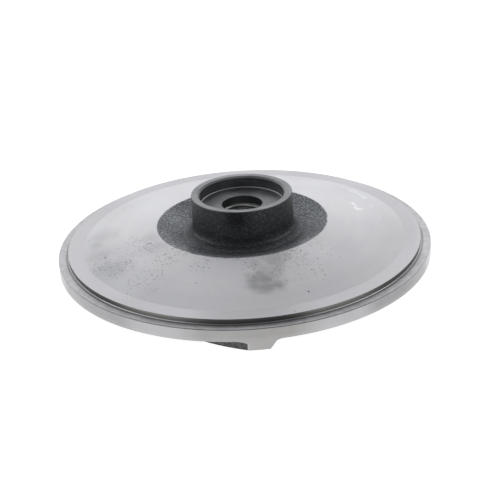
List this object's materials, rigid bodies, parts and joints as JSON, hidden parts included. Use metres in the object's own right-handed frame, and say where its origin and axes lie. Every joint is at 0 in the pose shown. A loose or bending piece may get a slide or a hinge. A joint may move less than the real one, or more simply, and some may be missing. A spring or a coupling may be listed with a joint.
{
  "type": "pump impeller",
  "caption": "Semi-open centrifugal pump impeller, one iron casting with a turned back, a rough hub and a threaded blind bore.",
  "frame": {"origin": "centre of the plane that the vane fronts stand on, on the axis of rotation", "axes": "+Z along the axis, from the vanes up to the hub that the shaft enters; -Y towards the vane tip that shows at the front"},
  "size_m": [0.248, 0.248, 0.0478],
  "materials": {
    "grey_cast_iron": "turned bright on the back, rough as cast elsewhere"
  },
  "bodies": {
    "root": {"impeller_casting": "grey_cast_iron"}
  },
  "joints": []
}
